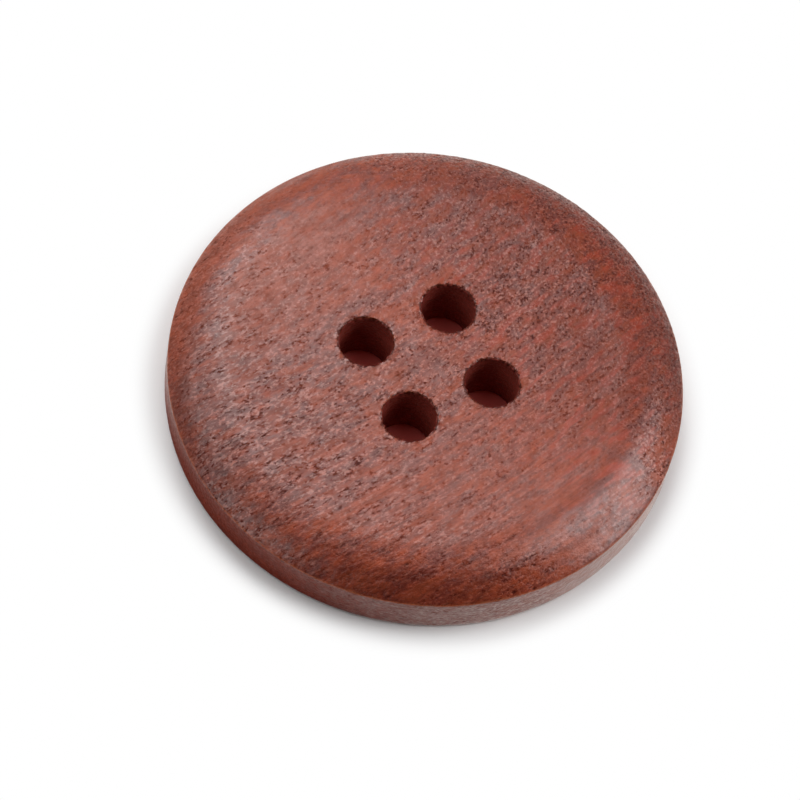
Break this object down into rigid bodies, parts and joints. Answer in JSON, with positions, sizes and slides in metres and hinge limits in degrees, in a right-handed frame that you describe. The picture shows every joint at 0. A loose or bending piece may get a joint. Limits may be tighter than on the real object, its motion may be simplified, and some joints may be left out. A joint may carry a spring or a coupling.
{
  "type": "four-hole wooden sewing button",
  "caption": "Round turned wooden button with a flat field, a convex rolled border, a straight edge and drilled holes through which thread sews it to cloth.",
  "frame": {"origin": "centre of the flat back, which is the bottom of the part", "axes": "+Z along the turning axis, out of the face; X and Y along the sides of the square of thread holes"},
  "size_m": [0.02, 0.02, 0.0026],
  "materials": {
    "stained_wood": "reddish-brown stain under a thin satin finish, with fine raised grain on the face"
  },
  "bodies": {
    "root": {"button": "stained_wood"}
  },
  "joints": []
}
